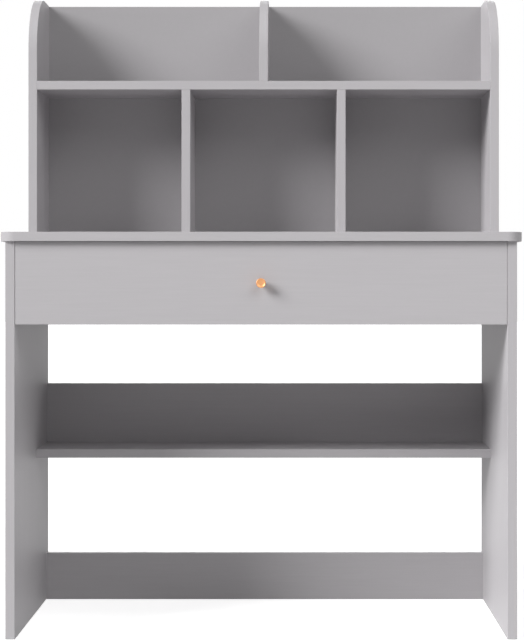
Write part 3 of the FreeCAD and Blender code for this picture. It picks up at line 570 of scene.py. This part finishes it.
def cut_cross(tool, reach, width, depth, top):
    """Sink a tapered cross recess into the top of a head."""
    blank = lay_out(tool, "head")
    bars = bmesh.new()
    for turn in (0, pi / 2):
        bar = bmesh.ops.create_cube(bars, size=1.0)["verts"]
        bmesh.ops.scale(bars, vec=(2 * reach, width, 2 * depth), verts=bar)
        foot = [vert for vert in bar if vert.co.z < 0]
        bmesh.ops.scale(bars, vec=(0.45, 0.8, 1.0), verts=foot)
        bmesh.ops.rotate(bars, cent=(0, 0, 0), matrix=Matrix.Rotation(turn, 3, "Z"), verts=bar)
    bmesh.ops.translate(bars, vec=(0, 0, top), verts=bars.verts)
    cutter = lay_out(bars, "cross")
    cut = blank.modifiers.new("cross", "BOOLEAN")
    cut.operation = "DIFFERENCE"
    cut.solver = "EXACT"
    cut.use_self = True
    cut.object = cutter
    evaluated = blank.evaluated_get(bpy.context.evaluated_depsgraph_get())
    finished = bmesh.new()
    finished.from_mesh(evaluated.to_mesh())
    evaluated.to_mesh_clear()
    for leftover in (blank, cutter):
        mesh = leftover.data
        bpy.data.objects.remove(leftover)
        bpy.data.meshes.remove(mesh)
    return finished


def array(master, spots):
    """One mesh with a copy of a master at each spot, a point and the direction of its top."""
    whole = bmesh.new()
    mesh = bpy.data.meshes.new("master")
    master.to_mesh(mesh)
    master.free()
    for point, outward in spots:
        first = len(whole.verts)
        whole.from_mesh(mesh)
        whole.verts.ensure_lookup_table()
        turn = outward.to_track_quat("Z", "Y").to_matrix().to_4x4()
        bmesh.ops.transform(whole, matrix=Matrix.Translation(point) @ turn,
                            verts=whole.verts[first:])
    bpy.data.meshes.remove(mesh)
    return whole


def solids(node):
    """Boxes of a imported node's separate solids, as pairs of lowest and highest corner."""
    tool = bmesh.new()
    tool.from_mesh(NODES[node].data)
    bmesh.ops.remove_doubles(tool, verts=tool.verts, dist=TOUCHING)
    boxes = []
    waiting = set(tool.verts)
    while waiting:
        heap = [waiting.pop()]
        found = []
        while heap:
            vert = heap.pop()
            found.append(vert.co.copy())
            for edge in vert.link_edges:
                other = edge.other_vert(vert)
                if other in waiting:
                    waiting.remove(other)
                    heap.append(other)
        low = Vector([min(point[axis] for point in found) for axis in range(3)])
        high = Vector([max(point[axis] for point in found) for axis in range(3)])
        boxes.append((low, high))
    tool.free()
    boxes.sort(key=lambda box: tuple(round(part, 5) for part in box[0]))
    return boxes


def top_of(box, outward):
    """Middle of the side of a box that faces outward."""
    low, high = box
    half = (high - low) / 2
    reach = sum(abs(part) * size for part, size in zip(outward, half))
    return (low + high) / 2 + outward * reach


def head_spots(node, outward_of):
    """Where the heads of a node's screws end, and which way they look."""
    spots = []
    for box in solids(node):
        outward = outward_of((box[0] + box[1]) / 2)
        spots.append((top_of(box, outward), outward))
    return spots


def length_along(box, outward):
    """Size of a box along a direction."""
    return abs((box[1] - box[0]).dot(outward))


def towards_middle(point):
    """Direction across the desk that looks at its middle."""
    return -RIGHT if point.x > 0 else RIGHT


def away_from_middle(point):
    """Direction across the desk that looks away from its middle."""
    return -towards_middle(point)


# ---------------------------------------------------------------- operators

class DESK_OT_boards(Operator):
    """Finish the laminated boards and the hardboard sheets"""
    bl_idname = "desk.boards"
    bl_label = "Finish boards"

    def execute(self, context):
        sizes = context.scene.desk_boards
        for node, grain in LAMINATE_BOARDS.items():
            dress(node, laminate(node, sizes.laminate, grain, sizes))
        for node, grain in DRAWER_BOARDS.items():
            dress(node, laminate(node, sizes.drawer_box, grain, sizes))
        # The back panel's colour is partly painted shade that darkens the cubbies and the back of
        # the hutch.
        dress("hutch_back", hardboard("lacquered_hardboard_and_painted_shade", sizes.hardboard))
        dress("drawer_bottom", hardboard("drawer_hardboard", sizes.drawer_box))
        dress("wood_dowels", beech("bare_beech", sizes.beech))
        return {"FINISHED"}


class DESK_OT_runners(Operator):
    """Finish the runners and the hidden bolts"""
    bl_idname = "desk.runners"
    bl_label = "Finish runners"

    def execute(self, context):
        colours = context.scene.desk_metal
        coat = enamel("baked_enamel", colours.enamel)
        for node in RUNNERS:
            dress(node, coat)
        plate = metal("plated_bolts", colours.zinc, roughness=0.28, mottle=0.05)
        for node in ("cam_bolts", "drawer_cam_bolts"):
            dress(node, plate)
        return {"FINISHED"}


class DESK_OT_knob(Operator):
    """Turn the knob: hollow face in a round rim, waist and foot"""
    bl_idname = "desk.knob"
    bl_label = "Turn knob"

    def execute(self, context):
        sizes = context.scene.desk_hardware
        low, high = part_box("knob")
        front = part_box("drawer_front")[0].y
        reach = front - low.y
        radius = (high.x - low.x) / 2
        foot = 0.7 * radius
        waist = 0.5 * radius
        foot_high = 0.095 * reach
        head_low = 0.53 * reach
        hollow = radius - sizes.knob_rim
        profile = [
            (0, 0), (foot, 0), (foot, foot_high), (waist, foot_high), (waist, head_low),
            (radius, head_low), (radius, reach),
        ]
        for share in (1.0, 0.97, 0.92, 0.85, 0.76, 0.65, 0.5, 0.25, 0.0):
            profile.append((share * hollow, reach - sizes.knob_dish * (1 - share ** 4)))
        tool = lathe(profile, 72)
        near = 0.1 * radius
        round_rims(tool, (reach, head_low), sizes.knob_round, 5, radius - near, radius + near)
        round_rims(tool, (head_low, foot_high), sizes.knob_fillet, 4, waist - near, waist + near)
        round_rims(tool, (foot_high,), 0.4 * foot_high, 3, foot - near, foot + near)
        centre = Vector(((low.x + high.x) / 2, front, (low.z + high.z) / 2))
        whole = array(tool, [(centre, -BACK)])
        copper = metal("satin_copper", context.scene.desk_metal.copper, roughness=0.38,
                       mottle=0.03, streak=(1, 0.2, 1))
        settle(whole, "turned_knob", copper, "drawer", "copper_metal", "knob")
        return {"FINISHED"}


class DESK_OT_rollers(Operator):
    """Mould the four rollers, each with a hub ring and a grooved face"""
    bl_idname = "desk.rollers"
    bl_label = "Mould rollers"

    def execute(self, context):
        sizes = context.scene.desk_hardware
        material = nylon("moulded_nylon", context.scene.desk_metal.nylon)
        for place in ("front", "rear"):
            for side in ("left", "right"):
                node = f"{place}_roller_{side}"
                low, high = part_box(node)
                width = high.x - low.x
                radius = (high.z - low.z) / 2
                bore = sizes.pin_radius + sizes.pin_play
                rim = radius - sizes.roller_rim
                floor = sizes.roller_groove
                tool = lathe([
                    (bore, 0), (sizes.roller_hub, 0), (sizes.roller_hub, floor), (rim, floor),
                    (rim, 0), (radius, 0), (radius, width), (rim, width), (rim, width - floor),
                    (sizes.roller_hub, width - floor), (sizes.roller_hub, width), (bore, width),
                    (bore, 0),
                ], 64)
                round_rims(tool, (0, width), sizes.roller_round, 3, 0.95 * radius, 2 * radius)
                start = Vector((low.x, (low.y + high.y) / 2, (low.z + high.z) / 2))
                settle(array(tool, [(start, RIGHT)]), f"moulded_{node}", material, node,
                       "roller_nylon", node)
        return {"FINISHED"}


class DESK_OT_pins(Operator):
    """Rivet the four roller pins, each with a shoulder and a domed head"""
    bl_idname = "desk.pins"
    bl_label = "Rivet roller pins"

    def execute(self, context):
        sizes = context.scene.desk_hardware
        material = metal("riveted_steel", context.scene.desk_metal.zinc, roughness=0.26,
                         mottle=0.05, streak=(0.2, 1, 1))
        for place, body, looks in (("front", "carcass", towards_middle),
                                   ("rear", "drawer", away_from_middle)):
            node = f"{place}_roller_pins"
            box = solids(node)[0]
            outward = looks((box[0] + box[1]) / 2)
            length = length_along(box, outward)
            head = max((box[1] - box[0]).yz) / 2
            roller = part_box(f"{place}_roller_left")
            shoulder = sizes.pin_head + 2 * sizes.pin_play + (roller[1].x - roller[0].x)
            collar = shoulder + sizes.pin_head - sizes.pin_play
            shank = sizes.pin_radius
            tool = lathe([
                (0, -length), (shank, -length), (shank, -collar), (head, -collar),
                (head, -shoulder), (shank, -shoulder), (shank, -sizes.pin_head),
                (head, -sizes.pin_head), (head, -0.5 * sizes.pin_head),
                (0.8 * head, -0.2 * sizes.pin_head), (0.45 * head, 0), (0, 0),
            ], 40)
            settle(array(tool, head_spots(node, looks)), f"riveted_{place}_pins", material, body,
                   "zinc_plated_steel", node)
        return {"FINISHED"}


class DESK_OT_cams(Operator):
    """Cast the cam discs, each with a rim and a cross recess"""
    bl_idname = "desk.cams"
    bl_label = "Cast cam discs"

    def execute(self, context):
        sizes = context.scene.desk_hardware
        material = metal("cast_zinc", context.scene.desk_metal.cast_zinc, roughness=0.42,
                         mottle=0.10)
        for node, body in (("cam_locks", "carcass"), ("drawer_cam_locks", "drawer")):
            spots = []
            for box in solids(node):
                outward = self.face_of((box[0] + box[1]) / 2)
                spots.append((top_of(box, outward), outward))
                depth = length_along(box, outward)
                radius = max(box[1] - box[0]) / 2
            tool = lathe([
                (0, -sizes.cam_dish), (0.84 * radius, -sizes.cam_dish), (0.88 * radius, 0),
                (radius, 0), (radius, -depth), (0, -depth),
            ], 56)
            round_rims(tool, (0,), sizes.cam_round, 2, 0.95 * radius, 2 * radius)
            tool = cut_cross(tool, sizes.cam_cross * sizes.cross_reach,
                             sizes.cam_cross * sizes.cross_width, sizes.cam_cross_depth,
                             -sizes.cam_dish)
            settle(array(tool, spots), f"cast_{node}", material, body, "cast_zinc", node)
        return {"FINISHED"}

    @staticmethod
    def face_of(point):
        """Which way the face looks of the board that holds a point."""
        for board, outward in CAM_FACES.items():
            low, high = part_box(board)
            if all(low[axis] < point[axis] < high[axis] for axis in range(3)):
                return outward
        raise ValueError("a cam disc lies in no board")


class DESK_OT_screws(Operator):
    """Make the screws, domed or sunk, with cross recesses"""
    bl_idname = "desk.screws"
    bl_label = "Make screws"

    def execute(self, context):
        material = metal("plated_screws", context.scene.desk_metal.zinc, roughness=0.26,
                         mottle=0.05)
        rows = (
            ("cabinet_runner_screws", "carcass", towards_middle, True),
            ("drawer_runner_screws", "drawer", lambda point: -UP, True),
            ("knob_screw", "drawer", lambda point: BACK, True),
            ("divider_screws", "carcass", lambda point: -UP, False),
            ("drawer_back_screws", "drawer", away_from_middle, False),
        )
        for node, body, looks, domed in rows:
            spots = head_spots(node, looks)
            box = solids(node)[0]
            outward = looks((box[0] + box[1]) / 2)
            length = length_along(box, outward)
            across = sorted(box[1] - box[0])
            master = self.screw(length, across[1] / 2, domed, context.scene.desk_hardware)
            settle(array(master, spots), f"turned_{node}", material, body, "zinc_plated_steel",
                   node)
        return {"FINISHED"}

    @staticmethod
    def screw(length, head, domed, sizes):
        """One screw with its head's top in the plane z = 0."""
        if domed:
            profile = [
                (0, 0), (0.45 * head, -0.04 * head), (0.80 * head, -0.20 * head),
                (head, -0.45 * head), (0.50 * head, -0.47 * head),
                (0.48 * head, 1.2 * head - length), (0, -length),
            ]
        else:
            profile = [
                (0, 0), (head, 0), (0.98 * head, -0.08 * head), (0.46 * head, -0.62 * head),
                (0.46 * head, 1.2 * head - length), (0, -length),
            ]
        tool = lathe(profile, 32)
        return cut_cross(tool, sizes.cross_reach, sizes.cross_width, sizes.cross_depth, 0)


class DESK_OT_nails(Operator):
    """Drive the nails of the hutch back panel"""
    bl_idname = "desk.nails"
    bl_label = "Drive back panel nails"

    def execute(self, context):
        sizes = context.scene.desk_hardware
        material = metal("bright_nails", context.scene.desk_metal.zinc, roughness=0.34,
                         mottle=0.08)
        low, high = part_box("hutch_back")
        shelf = sum(corner.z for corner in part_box("hutch_shelf")) / 2
        inset = sizes.nail_inset
        rows = []
        for side in ("left", "right"):
            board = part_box(f"hutch_side_{side}")
            inner = high.x if side == "right" else low.x
            edge = (inner + (board[0].x if side == "right" else board[1].x)) / 2
            for height in (low.z + inset, shelf - sizes.nail_drop, shelf, high.z - inset):
                rows.append((edge, height))
            divider = sum(corner.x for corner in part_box(f"hutch_divider_{side}")) / 2
            for height in (low.z + 2 * inset, shelf - 2 * inset, shelf):
                rows.append((divider, height))
            rows.append((2 * divider, shelf))
        rows.append((0, shelf))
        rows.append((0, high.z - inset))
        head = sizes.nail_radius
        shank = 0.3 * head
        proud = sizes.nail_proud
        tool = lathe([
            (0, proud), (0.6 * head, 0.9 * proud), (head, 0), (head, -sizes.nail_seat),
            (shank, -sizes.nail_seat), (shank, -sizes.nail_length), (0, -sizes.nail_length),
        ], 20)
        spots = [(Vector((across, high.y, height)), BACK) for across, height in rows]
        settle(array(tool, spots), "back_panel_nails", material, "carcass", "zinc_plated_steel")
        return {"FINISHED"}


class DESK_OT_stage(Operator):
    """Lay the floor, hang the lights and set up the camera"""
    bl_idname = "desk.stage"
    bl_label = "Set the stage"

    def execute(self, context):
        settings = context.scene.desk_stage
        context.scene.view_settings.view_transform = "Standard"
        self.lay_floor(settings.floor_glow, settings.floor_tone, settings.floor_reach)
        self.set_world(context.scene, settings.fill)
        self.hang("key", settings.key, settings.key_tilt, settings.narrow_width)
        self.hang("upper", settings.upper, settings.upper_tilt, settings.broad_width)
        self.hang("rear", settings.rear, settings.rear_tilt, settings.narrow_width)
        self.set_camera(context.scene, settings)
        return {"FINISHED"}

    @staticmethod
    def lay_floor(glow, level, reach):
        """Pale floor that looks white and still takes the desk's shadow."""
        tool = bmesh.new()
        bmesh.ops.create_grid(tool, x_segments=1, y_segments=1, size=reach)
        floor = lay_out(tool, "floor")
        finish = Finish("pale_floor")
        shine = finish.blend(finish.seen_straight(), BLACK, tone(WHITE, glow))
        floor.data.materials.append(finish.surface(
            base_color=tone(WHITE, level), roughness=1.0, specular_ior_level=0.0,
            emission_color=shine, emission_strength=1.0))

    @staticmethod
    def set_world(scene, fill):
        """White behind the desk, and a softer light from all round on it."""
        world = bpy.data.worlds.new("studio")
        world.use_nodes = True
        scene.world = world
        sky = Network(world.node_tree)
        light = sky.node("ShaderNodeBackground", sockets={"Color": WHITE, "Strength": fill})
        white = sky.node("ShaderNodeBackground", sockets={"Color": WHITE, "Strength": 1.0})
        either = sky.node("ShaderNodeMixShader",
                          sockets={0: sky.seen_straight(), 1: light, 2: white})
        sky.node("ShaderNodeOutputWorld", sockets={"Surface": either})

    @staticmethod
    def hang(name, strength, tilt, softness):
        """Hang a soft sun, tipped towards the front and then turned round the desk."""
        light = bpy.data.lights.new(name, "SUN")
        light.energy = strength
        light.angle = softness
        lamp = bpy.data.objects.new(name, light)
        lamp.rotation_euler = Euler((tilt[0], 0, tilt[1]))
        bpy.context.scene.collection.objects.link(lamp)

    @staticmethod
    def set_camera(scene, settings):
        """Level camera that looks straight at the back, shifted to frame the desk."""
        lens = bpy.data.cameras.new("eye")
        lens.lens = settings.lens
        lens.sensor_width = 36.0
        lens.shift_x, lens.shift_y = settings.shift
        lens.clip_end = 100.0
        camera = bpy.data.objects.new("eye", lens)
        camera.location = settings.eye
        camera.rotation_euler = (pi / 2, 0, 0)
        scene.collection.objects.link(camera)
        scene.camera = camera


class DESK_PT_panel(Panel):
    """Lists the steps that dress the desk"""
    bl_idname = "DESK_PT_panel"
    bl_label = "Student desk"
    bl_space_type = "VIEW_3D"
    bl_region_type = "UI"
    bl_category = "Desk"

    def draw(self, context):
        scene = context.scene
        for group in (scene.desk_boards, scene.desk_metal, scene.desk_hardware, scene.desk_stage):
            box = self.layout.box()
            for name in group.__annotations__:
                box.prop(group, name)
        for step in STEPS:
            self.layout.operator(step.bl_idname)


GROUPS = {
    "desk_boards": DeskBoards,
    "desk_metal": DeskMetal,
    "desk_hardware": DeskHardware,
    "desk_stage": DeskStage,
}
STEPS = (
    DESK_OT_boards, DESK_OT_runners, DESK_OT_knob, DESK_OT_rollers, DESK_OT_pins, DESK_OT_cams,
    DESK_OT_screws, DESK_OT_nails, DESK_OT_stage,
)


def register():
    """Register the settings, the steps and the panel."""
    for name, group in GROUPS.items():
        bpy.utils.register_class(group)
        setattr(bpy.types.Scene, name, PointerProperty(type=group))
    for step in STEPS + (DESK_PT_panel,):
        bpy.utils.register_class(step)


def unregister():
    """Take everything out again, last first."""
    for step in reversed(STEPS + (DESK_PT_panel,)):
        bpy.utils.unregister_class(step)
    for name, group in reversed(GROUPS.items()):
        delattr(bpy.types.Scene, name)
        bpy.utils.unregister_class(group)


def main():
    """Dress the desk step by step."""
    register()
    for step in STEPS:
        family, name = step.bl_idname.split(".")
        getattr(getattr(bpy.ops, family), name)()


if __name__ == "__main__":
    main()
